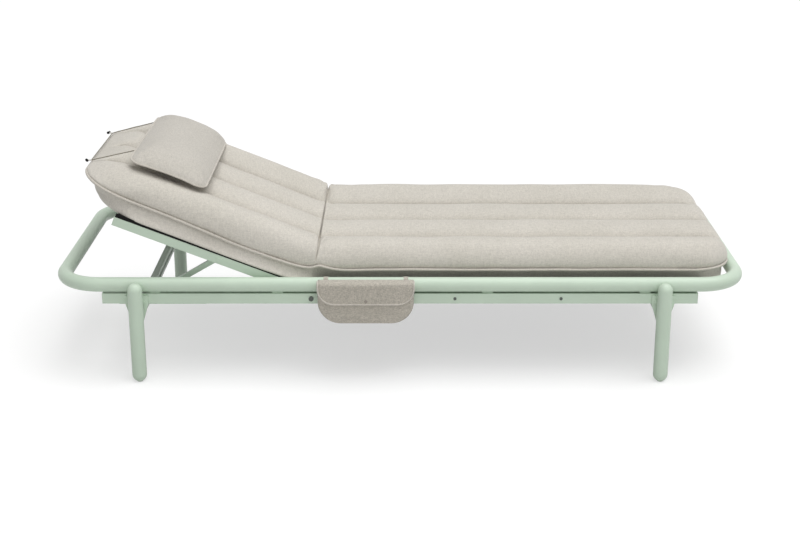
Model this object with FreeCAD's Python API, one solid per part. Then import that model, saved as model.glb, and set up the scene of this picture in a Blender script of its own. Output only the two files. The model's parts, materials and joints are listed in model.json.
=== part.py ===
"""Sun lounger: a tube ring on four legs, a reclining back, a channelled mattress, a pillow and a pocket.

Millimetres. +Z is up, X runs along the length with the foot end at +X, and the origin is on the floor
under the middle of the ring. The back stands at its photographed angle.
"""
import FreeCAD, Part
import math
import os

os.makedirs("parts", exist_ok=True)
V = FreeCAD.Vector

# Ring of round tube
frame_length = 2000.0
ring_axis_width = 768.0
tube_od = 42.0
tube_wall = 2.0
bend_radius = 120.0
ring_height = 280.0
seam_from_end = 194.0
spigot_length = 80.0

# Side rails under the ring, each on welded lugs
rail_from_end = 149.0
rail_width = 24.0
rail_height = 30.0
rail_wall = 2.0
rail_gap = 3.0
lug_length = 30.0
lug_width = 12.0
lugs_from_hinge = (-446.0, -96.0, 504.0)
lug_from_leg = 51.0
cap_thickness = 2.0
cap_plug = 12.0

# Legs, brackets and cross bars
leg_od = 42.0
leg_wall = 2.5
leg_from_end = 249.0
leg_above_ring = 17.0
glide_height = 2.0
glide_edge = 1.0
glide_stem_d = 8.0
glide_stem = 10.0
bracket_width = 64.0
bracket_tip_width = 24.0
bracket_depth = 66.0
bracket_overlap = 26.0
bracket_bolt_offset = 20.0
bracket_bolt_rise = 8.0
cross_bar_width = 20.0
cross_bar_height = 30.0
cross_bar_drop = 21.0
bar_wall = 2.0

# Bolts and screws
bolt_d = 6.0
bolt_head_d = 11.0
bolt_head_height = 3.5
bolt_bite = 12.0
screw_d = 5.0
screw_head_d = 9.0
screw_head_height = 2.0
screws_from_hinge = (105.0, 411.0, 714.0)
hole_clearance = 0.2
running_clearance = 0.06
soft_clearance = 0.3
cut_margin = 1.0

# Seat deck
hinge_from_head = 746.0
stringer_start = 29.0
stringer_from_end = 152.0
stringer_width = 20.0
deck_bar_height = 25.0
slat_width = 88.0
slat_height = 10.0
slat_wall = 1.5
strip_width = 7.0
back_strip_first = 30.0
seat_slat_count = 12
seat_slat_gap = 12.0
seat_slat_from_hinge = 64.0
seat_slat_from_end = 168.0

# Backrest
rest_angle = 21.4
max_angle = 42.0
back_rail_length = 602.0
back_rail_width = 20.0
hinge_gap = 16.0
back_bar_size = 20.0
back_bar_first = 50.0
back_bar_from_end = 16.0
back_slat_count = 6
back_slat_first = 84.0
back_slat_from_end = 52.0
back_slat_inset = 10.0
hinge_d = 8.0
hinge_head_d = 14.0
hinge_head_height = 4.0
bush_od = 16.0
nut_across = 13.0
nut_height = 6.5
nut_gap = 0.3

# Prop under the backrest and its racks
prop_pivot = 283.0
prop_foot_reach = 471.0
prop_foot_drop = 17.5
prop_arm_width = 12.0
prop_arm_height = 15.0
prop_bush = 6.0
prop_head_height = 3.0
prop_bar_d = 9.0
rack_thickness = 5.0
rack_clearance = 0.4
rack_depth = 6.4
rack_tooth = 2.0
rack_end = 26.0
rack_tab = 18.0
rack_angles = (10.0, 21.4, 32.0, 42.0)

# Mattress, measured in the flat position from the deck up
mattress_from_end = 38.0
mattress_overhang = 138.0
mattress_side_gap = 18.0
mattress_corners = (150.0, 115.0)
seam_height = 46.0
crown_outer = 126.0
crown_inner = 112.0
channel_floor = 92.0
channel_margin = 5.0
shoulder = ((46.0, 9.0), (55.0, 2.0), (72.0, 0.0), (96.0, 9.0), (114.0, 30.0), (128.0, 70.0))
head_slope = ((46.0, 12.0), (55.0, 10.0), (72.0, 30.0), (96.0, 62.0), (114.0, 100.0), (128.0, 150.0))
belly = ((0.0, 24.0), (12.0, 7.0), (26.0, 0.0), (38.0, 3.0), (46.0, 9.0))
head_tuck = ((0.0, 75.0), (12.0, 52.0), (26.0, 41.0), (38.0, 29.0), (46.0, 12.0))
foot_tuck = ((0.0, 28.0), (12.0, 11.0), (26.0, 6.0), (38.0, 5.0), (46.0, 9.0))
fold_margin = 0.4
crease_depth = 26.0
piping_d = 7.0
piping_inset = 3.6

# Pillow
pillow_side_gap = 65.0
pillow_length = 228.0
pillow_from_head = 235.0
pillow_seam = 165.6
pillow_corner = 32.0
pillow_crown = ((0.0, 0.0), (14.0, 5.0), (26.0, 18.0), (35.0, 42.0), (40.0, 84.0))
pillow_belly = ((0.0, 0.0), (6.0, 8.0), (11.0, 26.0), (17.0, 50.0), (24.0, 84.0))

# Elastic cord, in places from the mattress head, above the hinge line and from the outer channel seam
cord_d = 3.0
cord_corner = 9.0
cord_steps = ((-120.7, 165.6, 6.0), (-22.0, 97.0, -2.0), (-8.0, 86.0, -4.0))
loop_d = 4.0
loop_length = 14.0
toggle_d = 8.0
toggle_length = 13.0
loop_lean = 0.8

# Pocket on the right side tube
pocket_from_hinge = 157.0
pocket_width = 272.0
pocket_above_ring = 22.0
pocket_height = 120.0
pocket_depth = 34.0
pocket_wall = 2.5
pocket_corner = 64.0
flap_drop = 62.0
flap_corner = 46.0
flap_thickness = 2.5
strap_spread = 228.0
strap_width = 13.0
strap_thickness = 1.3
strap_gap = 0.3
snap_d = 9.0
snap_height = 1.4
snap_rise = 9.0

# Worked out places
ring_half = ring_axis_width / 2
tube_r = tube_od / 2
end_axis_x = frame_length / 2 - tube_r
seam_x = frame_length / 2 - seam_from_end
rail_half = frame_length / 2 - rail_from_end
hinge_x = hinge_from_head - frame_length / 2
screw_places = [hinge_x + step for step in screws_from_hinge]
rail_top = ring_height - tube_r - rail_gap
rail_bottom = rail_top - rail_height
rail_outer = ring_half + rail_width / 2
rail_inner = ring_half - rail_width / 2
rail_middle = rail_bottom + rail_height / 2
hinge_z = rail_middle
deck_bar_top = hinge_z + deck_bar_height / 2
deck_bar_bottom = hinge_z - deck_bar_height / 2
deck_top = deck_bar_top + slat_height
leg_y = ring_half + tube_r + leg_od / 2
leg_x = frame_length / 2 - leg_from_end
bracket_outer = leg_y - leg_od / 2
back_rail_outer = rail_inner - hinge_gap
back_rail_inner = back_rail_outer - back_rail_width
prop_arm_outer = back_rail_inner - prop_bush
prop_arm_inner = prop_arm_outer - prop_arm_width
prop_foot_x = hinge_x - prop_foot_reach
mattress_bottom = deck_top + soft_clearance
mattress_foot = frame_length / 2 - mattress_from_end
mattress_half_width = ring_half - tube_r - mattress_side_gap
mattress_back = back_rail_length + mattress_overhang
channel_width = (mattress_half_width - channel_margin) / 2
pillow_half_width = mattress_half_width - pillow_side_gap
pillow_middle = mattress_back - pillow_from_head
cord_half_route = [(mattress_back + s, n, channel_width + y) for s, n, y in cord_steps]
pocket_middle = hinge_x + pocket_from_hinge
pocket_top = ring_height + pocket_above_ring
cut_angle = max_angle / 2 + fold_margin


def export(name, *solids):
    """Writes one node from its separate solids."""
    shape = solids[0] if len(solids) == 1 else Part.makeCompound(list(solids))
    shape.exportStep("parts/" + name + ".step")


def block(x, y, z):
    """A box from its low and high places along each axis."""
    return Part.makeBox(x[1] - x[0], y[1] - y[0], z[1] - z[0], V(x[0], y[0], z[0]))


def square_tube(x, y, z, wall, along):
    """A hollow rectangular bar, open at the ends of the named axis."""
    spans = {"x": x, "y": y, "z": z}
    bore = {}
    for axis, (low, high) in spans.items():
        bore[axis] = (low, high) if axis == along else (low + wall, high - wall)
    return block(x, y, z).cut(block(bore["x"], bore["y"], bore["z"]))


def rod_y(x, z, y0, y1, diameter):
    """A round bar along Y between two places."""
    return Part.makeCylinder(diameter / 2, y1 - y0, V(x, y0, z), V(0, 1, 0))


def bore_y(x, z, y0, y1, diameter):
    """A cutter for a hole along Y that runs past both faces."""
    return rod_y(x, z, y0 - cut_margin, y1 + cut_margin, diameter)


def ring_y(x, z, y0, y1, outer, inner):
    """A washer or bush along Y."""
    return rod_y(x, z, y0, y1, outer).cut(rod_y(x, z, y0, y1, inner))


def nut_y(x, z, y0, y1, across, bore):
    """A hexagon nut along Y."""
    corner = across / math.sqrt(3)
    turns = [k * math.pi / 3 for k in range(7)]
    points = [V(x + corner * math.cos(turn), y0, z + corner * math.sin(turn)) for turn in turns]
    solid = Part.Face(Part.makePolygon(points)).extrude(V(0, y1 - y0, 0))
    return solid.cut(rod_y(x, z, y0, y1, bore))


def mirrored(shape):
    """The same piece on the other side of the lounger."""
    return shape.mirror(V(0, 0, 0), V(0, 1, 0))


def pair(shape):
    """A piece made on the left side, and its mirror on the right."""
    return [shape, mirrored(shape)]


def plate_xz(points, y0, y1):
    """A flat plate with an outline in X and Z, from one Y place to another."""
    outline = [V(x, y0, z) for x, z in points]
    return Part.Face(Part.makePolygon(outline + outline[:1])).extrude(V(0, y1 - y0, 0))


def raised(shape):
    """Turns a piece of the flat backrest to its standing angle."""
    turned = shape.copy()
    turned.rotate(V(hinge_x, 0, hinge_z), V(0, 1, 0), rest_angle)
    return turned


def raised_point(along, up, across):
    """A point given along the back, above the hinge line and across, at the standing angle."""
    angle = math.radians(rest_angle)
    x = hinge_x - along * math.cos(angle) + up * math.sin(angle)
    z = hinge_z + along * math.sin(angle) + up * math.cos(angle)
    return V(x, across, z)


def swept(path_edges, radius):
    """A round tube along a path of straight runs and arcs."""
    path = Part.Wire(path_edges)
    start = path_edges[0].valueAt(path_edges[0].FirstParameter)
    heading = path_edges[0].tangentAt(path_edges[0].FirstParameter)
    section = Part.Wire(Part.Circle(start, heading, radius).toShape())
    return path.makePipeShell([section], True, False)


def rounded_route(points, radius):
    """Straight runs joined by tangent arcs of one radius, as edges."""
    edges = []
    last = points[0]
    for before, corner, after in zip(points, points[1:], points[2:]):
        inward = (before - corner).normalize()
        outward = (after - corner).normalize()
        half = inward.getAngle(outward) / 2
        reach = radius / math.tan(half)
        start = corner + inward * reach
        end = corner + outward * reach
        bisector = (inward + outward).normalize()
        middle = corner + bisector * (radius / math.sin(half) - radius)
        edges.append(Part.LineSegment(last, start).toShape())
        edges.append(Part.Arc(start, middle, end).toShape())
        last = end
    edges.append(Part.LineSegment(last, points[-1]).toShape())
    return edges


def ring_tubes():
    """Two straight side tubes and two bent end tubes, joined over inner sleeves."""
    half = seam_x
    bore = tube_r - tube_wall

    def straight(y):
        outer = Part.makeCylinder(tube_r, 2 * half, V(-half, y, ring_height), V(1, 0, 0))
        inner = Part.makeCylinder(bore, 2 * half, V(-half, y, ring_height), V(1, 0, 0))
        return outer.cut(inner)

    def end_bow(way):
        corners = [
            V(way * half, -ring_half, ring_height),
            V(way * end_axis_x, -ring_half, ring_height),
            V(way * end_axis_x, ring_half, ring_height),
            V(way * half, ring_half, ring_height),
        ]
        edges = rounded_route(corners, bend_radius)
        return swept(edges, tube_r).cut(swept(edges, bore))

    export("side_tube_left", straight(ring_half))
    export("side_tube_right", straight(-ring_half))
    export("head_end_tube", end_bow(-1))
    export("foot_end_tube", end_bow(1))
    sleeves = []
    for way in (-1, 1):
        for y in (-ring_half, ring_half):
            start = V(way * half - spigot_length / 2, y, ring_height)
            sleeve = Part.makeCylinder(bore, spigot_length, start, V(1, 0, 0))
            core = Part.makeCylinder(bore - tube_wall, spigot_length, start, V(1, 0, 0))
            sleeves.append(sleeve.cut(core))
    export("tube_sleeves", *sleeves)


def side_rails():
    """The rectangular rails, with their bolt holes, lugs and end caps."""
    half = rail_half - cap_thickness
    rail = square_tube((-half, half), (rail_inner, rail_outer), (rail_bottom, rail_top), rail_wall, "x")
    through = [(hinge_x, hinge_z, hinge_d)] + [(x, rail_middle, screw_d) for x in screw_places]
    for x, z, diameter in through:
        rail = rail.cut(bore_y(x, z, rail_inner, rail_outer, diameter + 2 * hole_clearance))
    for x in bracket_bolt_xs():
        z = rail_bottom + bracket_bolt_rise
        rail = rail.cut(rod_y(x, z, ring_half, rail_outer + cut_margin, bolt_d + 2 * hole_clearance))
    for x, z in rack_screw_places():
        rail = rail.cut(rod_y(x, z, rail_inner - cut_margin, ring_half, screw_d + 2 * hole_clearance))
    export("side_rail_left", rail)
    export("side_rail_right", mirrored(rail))

    tube = Part.makeCylinder(tube_r, 2 * rail_half, V(-rail_half, ring_half, ring_height), V(1, 0, 0))
    lugs = []
    for x in [hinge_x + step for step in lugs_from_hinge] + [leg_x - lug_from_leg]:
        across = (ring_half - lug_width / 2, ring_half + lug_width / 2)
        lug = block((x - lug_length / 2, x + lug_length / 2), across, (rail_top, ring_height)).cut(tube)
        lugs += pair(lug)
    export("rail_lugs", *lugs)

    caps = []
    for way in (-1, 1):
        cover = sorted((way * half, way * (half + cap_thickness)))
        plug = sorted((way * half, way * (half - cap_plug)))
        cap = block(cover, (rail_inner, rail_outer), (rail_bottom, rail_top))
        bore = (rail_inner + rail_wall, rail_outer - rail_wall)
        inside = block(plug, bore, (rail_bottom + rail_wall, rail_top - rail_wall))
        caps += pair(cap.fuse(inside).removeSplitter())
    export("rail_end_caps", *caps)


def bracket_bolt_xs():
    """Where the bracket bolts stand along the rail."""
    return [way * leg_x + side * bracket_bolt_offset for way in (-1, 1) for side in (-1, 1)]


def leg_profile(radius, top, bottom, flat_z):
    """Half outline of a round bar with domed ends, cut flat at the foot, turned into a solid."""
    flat_r = math.sqrt(max(radius ** 2 - (bottom + radius - flat_z) ** 2, 0.0))
    lean = math.radians(30)
    low = V(flat_r, 0, flat_z)
    low_middle = V(radius * math.cos(lean), 0, bottom + radius - radius * math.sin(lean))
    high_middle = V(radius * math.sin(math.pi / 4), 0, top - radius + radius * math.cos(math.pi / 4))
    edges = [
        Part.LineSegment(V(0, 0, flat_z), low).toShape(),
        Part.Arc(low, low_middle, V(radius, 0, bottom + radius)).toShape(),
        Part.LineSegment(V(radius, 0, bottom + radius), V(radius, 0, top - radius)).toShape(),
        Part.Arc(V(radius, 0, top - radius), high_middle, V(0, 0, top)).toShape(),
        Part.LineSegment(V(0, 0, top), V(0, 0, flat_z)).toShape(),
    ]
    return Part.Face(Part.Wire(edges)).revolve(V(0, 0, 0), V(0, 0, 1), 360)


def legs():
    """Four hollow legs, their glides, the brackets with their bolts, and the two cross bars."""
    top = ring_height + leg_above_ring
    radius = leg_od / 2
    foot_r = math.sqrt(radius ** 2 - (radius - glide_height) ** 2)
    core_floor = glide_height + leg_wall
    leg = leg_profile(radius, top, 0.0, glide_height)
    leg = leg.cut(leg_profile(radius - leg_wall, top - leg_wall, leg_wall, core_floor))
    leg = leg.cut(Part.makeCylinder(glide_stem_d / 2, glide_stem + glide_height))
    glide = Part.makeCone(foot_r - glide_edge, foot_r, glide_height)
    stem = Part.makeCylinder(glide_stem_d / 2, glide_stem, V(0, 0, glide_height))
    glide = glide.fuse(stem).removeSplitter()

    glides = []
    for end, way in (("head", -1), ("foot", 1)):
        for side, y in (("left", leg_y), ("right", -leg_y)):
            stand = V(way * leg_x, y, 0)
            export("leg_" + end + "_" + side, leg.translated(stand))
            glides.append(glide.translated(stand))
    export("foot_glides", *glides)

    brackets = []
    bolts = []
    bolt_z = rail_bottom + bracket_bolt_rise
    for way in (-1, 1):
        outline = [
            (way * leg_x - bracket_width / 2, rail_bottom + bracket_overlap),
            (way * leg_x + bracket_width / 2, rail_bottom + bracket_overlap),
            (way * leg_x + bracket_width / 2, rail_bottom),
            (way * leg_x + bracket_tip_width / 2, rail_bottom - bracket_depth),
            (way * leg_x - bracket_tip_width / 2, rail_bottom - bracket_depth),
            (way * leg_x - bracket_width / 2, rail_bottom),
        ]
        plate = plate_xz(outline, rail_outer, bracket_outer)
        for side in (-1, 1):
            x = way * leg_x + side * bracket_bolt_offset
            hole = bore_y(x, bolt_z, rail_outer, bracket_outer, bolt_d + 2 * hole_clearance)
            plate = plate.cut(hole)
        brackets += pair(plate)
    for x in bracket_bolt_xs():
        shank = rod_y(x, bolt_z, rail_outer - bolt_bite, bracket_outer, bolt_d)
        head = rod_y(x, bolt_z, bracket_outer, bracket_outer + bolt_head_height, bolt_head_d)
        bolts += pair(shank.fuse(head).removeSplitter())
    export("leg_brackets", *brackets)
    export("bracket_bolts", *bolts)

    bar_top = rail_bottom - cross_bar_drop
    for name, way in (("head_cross_bar", -1), ("foot_cross_bar", 1)):
        across = (way * leg_x - cross_bar_width / 2, way * leg_x + cross_bar_width / 2)
        height = (bar_top - cross_bar_height, bar_top)
        export(name, square_tube(across, (-rail_outer, rail_outer), height, bar_wall, "y"))


def slat(middle, half_span):
    """One hollow deck slat across the lounger."""
    along = (middle - slat_width / 2, middle + slat_width / 2)
    return square_tube(along, (-half_span, half_span), (deck_bar_top, deck_top), slat_wall, "y")


def evenly(first, last, count):
    """Places from first to last in equal steps."""
    return [first + (last - first) * k / (count - 1) for k in range(count)]


def seat_deck():
    """Stringers screwed inside the rails, and the slats on them."""
    along = (hinge_x + stringer_start, frame_length / 2 - stringer_from_end)
    across = (rail_inner - stringer_width, rail_inner)
    stringer = square_tube(along, across, (deck_bar_bottom, deck_bar_top), bar_wall, "x")
    screws = []
    for x in screw_places:
        stringer = stringer.cut(bore_y(x, rail_middle, rail_inner - bar_wall, rail_inner, screw_d))
        shank = rod_y(x, rail_middle, rail_inner - stringer_width / 2, rail_outer, screw_d)
        head = rod_y(x, rail_middle, rail_outer, rail_outer + screw_head_height, screw_head_d)
        screws += pair(shank.fuse(head).removeSplitter())
    export("seat_stringer_left", stringer)
    export("seat_stringer_right", mirrored(stringer))
    export("deck_screws", *screws)
    first = hinge_x + seat_slat_from_hinge
    middles = evenly(first, frame_length / 2 - seat_slat_from_end, seat_slat_count)
    slat_end = rail_inner - seat_slat_gap
    export("seat_slats", *[slat(x, slat_end) for x in middles])
    strip = block(along, (slat_end, slat_end + strip_width), (deck_bar_top, deck_top))
    export("seat_slat_strips", *pair(strip))


def backrest_frame():
    """Backrest rails on their hinge bolts, with cross bars, caps and slats."""
    reach = deck_bar_height / 2
    height = (deck_bar_bottom, deck_bar_top)
    across = (back_rail_inner, back_rail_outer)
    head_x = hinge_x - back_rail_length
    rail = block((head_x + cap_thickness, hinge_x), across, height)
    rail = rail.fuse(rod_y(hinge_x, hinge_z, *across, deck_bar_height)).removeSplitter()
    bore = (head_x, hinge_x - reach - bar_wall)
    bore_across = (across[0] + bar_wall, across[1] - bar_wall)
    bore_height = (height[0] + bar_wall, height[1] - bar_wall)
    rail = rail.cut(block(bore, bore_across, bore_height))
    rail = rail.cut(bore_y(hinge_x, hinge_z, across[0], across[1], hinge_d + 2 * running_clearance))
    rail = rail.cut(bore_y(hinge_x - prop_pivot, hinge_z, across[0], across[1], hinge_d))
    export("backrest_rail_left", raised(rail))
    export("backrest_rail_right", raised(mirrored(rail)))

    cap = block((head_x, head_x + cap_thickness), across, height)
    plug = (head_x + cap_thickness, head_x + cap_thickness + cap_plug)
    inside = block(plug, bore_across, bore_height)
    export("backrest_rail_caps", *[raised(s) for s in pair(cap.fuse(inside).removeSplitter())])

    bars = []
    for place in (back_bar_first, back_rail_length - back_bar_from_end):
        along = (hinge_x - place - back_bar_size / 2, hinge_x - place + back_bar_size / 2)
        tall = (hinge_z - back_bar_size / 2, hinge_z + back_bar_size / 2)
        bars.append(raised(square_tube(along, (-back_rail_inner, back_rail_inner), tall, bar_wall, "y")))
    export("backrest_cross_bars", *bars)
    middles = evenly(back_slat_first, back_rail_length - back_slat_from_end, back_slat_count)
    slat_end = back_rail_outer - back_slat_inset
    export("backrest_slats", *[raised(slat(hinge_x - s, slat_end)) for s in middles])
    along = (head_x + cap_thickness, hinge_x - back_strip_first)
    strip = block(along, (slat_end, slat_end + strip_width), (deck_bar_top, deck_top))
    export("backrest_slat_strips", *[raised(s) for s in pair(strip)])

    nut_outer = back_rail_inner - nut_gap
    shank = rod_y(hinge_x, hinge_z, nut_outer - nut_height, rail_outer, hinge_d)
    head = rod_y(hinge_x, hinge_z, rail_outer, rail_outer + hinge_head_height, hinge_head_d)
    export("hinge_bolts", *pair(shank.fuse(head).removeSplitter()))
    bush = ring_y(hinge_x, hinge_z, back_rail_outer + nut_gap, rail_inner, bush_od, hinge_d)
    export("hinge_bushes", *pair(bush))
    nut = nut_y(hinge_x, hinge_z, nut_outer - nut_height, nut_outer, nut_across, hinge_d)
    export("hinge_nuts", *pair(nut))


def prop_points(angle):
    """Prop pivot and foot in X and Z at a backrest angle, moving at the prop's steady ratio."""
    turn = math.radians(angle)
    pivot = (hinge_x - prop_pivot * math.cos(turn), hinge_z + prop_pivot * math.sin(turn))
    down = math.radians(prop_open(angle) - angle)
    length = prop_length()
    return pivot, (pivot[0] - length * math.cos(down), pivot[1] - length * math.sin(down))


def prop_length():
    """From the prop's pivot to its foot, both placed at the standing angle."""
    turn = math.radians(rest_angle)
    run = hinge_x - prop_pivot * math.cos(turn) - prop_foot_x
    rise = prop_pivot * math.sin(turn) + prop_foot_drop
    return math.hypot(run, rise)


def prop_ratio():
    """Degrees the prop opens per degree of recline, for the same foot level when flat and when standing."""
    turn = math.radians(rest_angle)
    length = prop_length()
    rise = prop_pivot * math.sin(turn) + prop_foot_drop
    open_standing = rest_angle + math.degrees(math.asin(rise / length))
    open_flat = math.degrees(math.asin(prop_foot_drop / length))
    return (open_standing - open_flat) / rest_angle


def prop_open(angle):
    """The angle between the prop and the backrest at a recline angle."""
    open_flat = math.degrees(math.asin(prop_foot_drop / prop_length()))
    return open_flat + prop_ratio() * angle


def prop():
    """Two arms on pins in the backrest rails, joined by the foot bar that drops into the racks."""
    pivot, foot = prop_points(rest_angle)
    run, rise = foot[0] - pivot[0], foot[1] - pivot[1]
    length = math.hypot(run, rise)
    across = (prop_arm_inner, prop_arm_outer)
    half = prop_arm_height / 2
    side = (-rise / length * half, run / length * half)
    outline = [
        (pivot[0] + side[0], pivot[1] + side[1]),
        (foot[0] + side[0], foot[1] + side[1]),
        (foot[0] - side[0], foot[1] - side[1]),
        (pivot[0] - side[0], pivot[1] - side[1]),
    ]
    eye_d = prop_bar_d + prop_arm_height / 2
    arm = plate_xz(outline, *across)
    arm = arm.fuse(rod_y(*pivot, *across, eye_d)).fuse(rod_y(*foot, *across, eye_d)).removeSplitter()
    arm = arm.cut(bore_y(*pivot, across[0], across[1], hinge_d + 2 * running_clearance))
    arm = arm.cut(bore_y(*foot, across[0], across[1], prop_bar_d))
    export("prop_arm_left", arm)
    export("prop_arm_right", mirrored(arm))
    bar_end = rail_inner - rack_thickness - rack_clearance
    export("prop_foot_bar", rod_y(*foot, -bar_end, bar_end, prop_bar_d))

    nut_outer = prop_arm_inner - nut_gap
    shank = rod_y(*pivot, nut_outer - nut_height, back_rail_outer, hinge_d)
    head = rod_y(*pivot, back_rail_outer, back_rail_outer + prop_head_height, hinge_head_d)
    export("prop_pins", *pair(shank.fuse(head).removeSplitter()))
    export("prop_bushes", *pair(ring_y(*pivot, prop_arm_outer + nut_gap, back_rail_inner, bush_od, hinge_d)))
    export("prop_nuts", *pair(nut_y(*pivot, nut_outer - nut_height, nut_outer, nut_across, hinge_d)))


def rack_ends():
    """The rack's head and foot ends along X, past its first and last notch."""
    feet = [prop_points(angle)[1][0] for angle in rack_angles]
    return min(feet) - rack_end - rack_tab, max(feet) + rack_end + rack_tab


def rack_screw_places():
    """Where the rack's tabs are screwed to the rail."""
    low, high = rack_ends()
    return [(low + rack_tab / 2, rail_middle), (high - rack_tab / 2, rail_middle)]


def racks():
    """Notched plates on the inner face of each rail, one notch for each backrest position."""
    low, high = rack_ends()
    notches = sorted(prop_points(angle)[1] for angle in rack_angles)
    floor = min(z for x, z in notches) - rack_depth
    top = rail_middle + screw_head_d
    crest = [(x, z + rack_tooth) for x, z in notches]
    tab_low, tab_high = low + rack_tab, high - rack_tab
    outline = [(low, floor), (high, floor), (high, top), (tab_high, top), (tab_high, crest[-1][1])]
    outline += crest[::-1]
    outline += [(tab_low, crest[0][1]), (tab_low, top), (low, top)]
    span = (rail_inner - rack_thickness, rail_inner)
    plate = plate_xz(outline, *span)
    slot = prop_bar_d / 2 + rack_clearance
    for x, z in notches:
        plate = plate.cut(bore_y(x, z, span[0], span[1], 2 * slot))
        way_in = (z, z + prop_bar_d)
        plate = plate.cut(block((x - slot, x + slot), (span[0] - cut_margin, span[1] + cut_margin), way_in))
    screws = []
    for x, z in rack_screw_places():
        plate = plate.cut(bore_y(x, z, span[0], span[1], screw_d + 2 * hole_clearance))
        shank = rod_y(x, z, span[0], rail_inner + rail_wall + bolt_bite / 2, screw_d)
        head = rod_y(x, z, span[0] - screw_head_height, span[0], screw_head_d)
        screws += pair(shank.fuse(head).removeSplitter())
    export("prop_rack_left", plate)
    export("prop_rack_right", mirrored(plate))
    export("rack_screws", *screws)


def rounded_rectangle(x0, x1, half_width, corners, z):
    """A level outline of four lines and four arcs, with one corner radius for each end."""
    head_corner, foot_corner = corners
    head_slack, foot_slack = [corner * (1 - math.sqrt(0.5)) for corner in corners]
    start, stop = x0 + head_corner, x1 - foot_corner
    head_side, foot_side = half_width - head_corner, half_width - foot_corner
    head_bend = (x0 + head_slack, half_width - head_slack)
    foot_bend = (x1 - foot_slack, half_width - foot_slack)
    runs = [
        (V(start, -half_width, z), V(stop, -half_width, z), V(foot_bend[0], -foot_bend[1], z)),
        (V(x1, -foot_side, z), V(x1, foot_side, z), V(foot_bend[0], foot_bend[1], z)),
        (V(stop, half_width, z), V(start, half_width, z), V(head_bend[0], head_bend[1], z)),
        (V(x0, head_side, z), V(x0, -head_side, z), V(head_bend[0], -head_bend[1], z)),
    ]
    edges = []
    for k, (start, end, bend) in enumerate(runs):
        edges.append(Part.LineSegment(start, end).toShape())
        edges.append(Part.Arc(end, bend, runs[(k + 1) % 4][0]).toShape())
    return Part.Wire(edges)


def mattress_form():
    """The whole flat mattress: bellied sides drawn in at the seam, under four lengthwise crowns."""
    head = hinge_x - mattress_back

    def level(rise, side_inset, head_inset, foot_inset):
        ends = (head + head_inset, mattress_foot - foot_inset)
        corners = [corner - side_inset for corner in mattress_corners]
        return rounded_rectangle(*ends, mattress_half_width - side_inset, corners, mattress_bottom + rise)

    upper_levels = []
    for (rise, inset), (_, at_head) in zip(shoulder, head_slope):
        upper_levels.append(level(rise, inset, at_head, inset))
    upper = Part.makeLoft(upper_levels, True, False)
    lower_levels = []
    for (rise, inset), (_, at_head), (_, at_foot) in zip(belly, head_tuck, foot_tuck):
        lower_levels.append(level(rise, inset, at_head, at_foot))
    lower = Part.makeLoft(lower_levels, True, False)

    wide = 2 * channel_width
    edges = []
    floor = mattress_bottom + channel_floor
    for k, crown in enumerate((crown_outer, crown_inner, crown_inner, crown_outer)):
        left = -wide + k * channel_width
        middle = V(head, left + channel_width / 2, mattress_bottom + crown)
        edges.append(Part.Arc(V(head, left, floor), middle, V(head, left + channel_width, floor)).toShape())
    low = mattress_bottom + seam_height
    outside = mattress_half_width
    ring = [V(head, wide, floor), V(head, outside, floor), V(head, outside, low), V(head, -outside, low)]
    ring += [V(head, -outside, floor), V(head, -wide, floor)]
    edges += [Part.LineSegment(a, b).toShape() for a, b in zip(ring, ring[1:])]
    crowns = Part.Face(Part.Wire(edges)).extrude(V(mattress_foot - head, 0, 0))
    return upper.common(crowns).fuse(lower).removeSplitter()


def fold_wedge(low_angle, high_angle, reach):
    """A wedge along Y that opens upwards from the hinge line, between two leans from upright."""
    tall = 2 * crown_outer
    outline = [(hinge_x, hinge_z), (hinge_x + tall * math.tan(math.radians(low_angle)), hinge_z + tall)]
    outline += [(hinge_x + reach, hinge_z + tall), (hinge_x + reach, hinge_z)] if reach else []
    if not reach:
        outline.append((hinge_x + tall * math.tan(math.radians(high_angle)), hinge_z + tall))
    return plate_xz(outline, -2 * mattress_half_width, 2 * mattress_half_width)


def mattress():
    """Seat and back parts of the mattress with their piping, and the soft fold between them."""
    form = mattress_form()
    head = hinge_x - mattress_back
    seam = mattress_bottom + seam_height
    seat_side = fold_wedge(cut_angle, None, 2 * frame_length)
    back_side = fold_wedge(-cut_angle, None, -2 * frame_length)
    export("seat_cushion", form.common(seat_side))
    export("backrest_cushion", raised(form.common(back_side)))

    route = rounded_rectangle(
        head + piping_inset,
        mattress_foot - piping_inset,
        mattress_half_width - piping_inset,
        [corner - piping_inset for corner in mattress_corners],
        seam,
    )
    piping = swept(route.Edges, piping_d / 2)
    export("seat_piping", piping.common(seat_side))
    export("backrest_piping", raised(piping.common(back_side)))

    lean = cut_angle - rest_angle / 2 - fold_margin / 2
    fold = form.common(fold_wedge(-lean, lean, None))
    rim = mattress_bottom + crown_outer - hinge_z
    spread = rim * math.tan(math.radians(lean))
    above = hinge_z + 2 * rim
    notch = [(hinge_x - spread, above), (hinge_x, hinge_z + rim - crease_depth), (hinge_x + spread, above)]
    fold = fold.cut(plate_xz(notch, -mattress_half_width, mattress_half_width))
    fold.rotate(V(hinge_x, 0, hinge_z), V(0, 1, 0), rest_angle / 2)
    export("cushion_fold", fold)


def pillow():
    """A crowned pillow lying across the channels."""
    middle = hinge_x - pillow_middle
    seam = hinge_z + pillow_seam

    def level(rise, inset):
        reach = pillow_length / 2 - inset
        corners = 2 * [max(pillow_corner - inset / 2, pillow_corner / 4)]
        half_width = pillow_half_width - inset
        return rounded_rectangle(middle - reach, middle + reach, half_width, corners, seam + rise)

    upper = Part.makeLoft([level(rise, inset) for rise, inset in pillow_crown], True, False)
    lower = Part.makeLoft([level(-rise, inset) for rise, inset in pillow_belly], True, False)
    export("head_pillow", raised(upper.fuse(lower).removeSplitter()))


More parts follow.
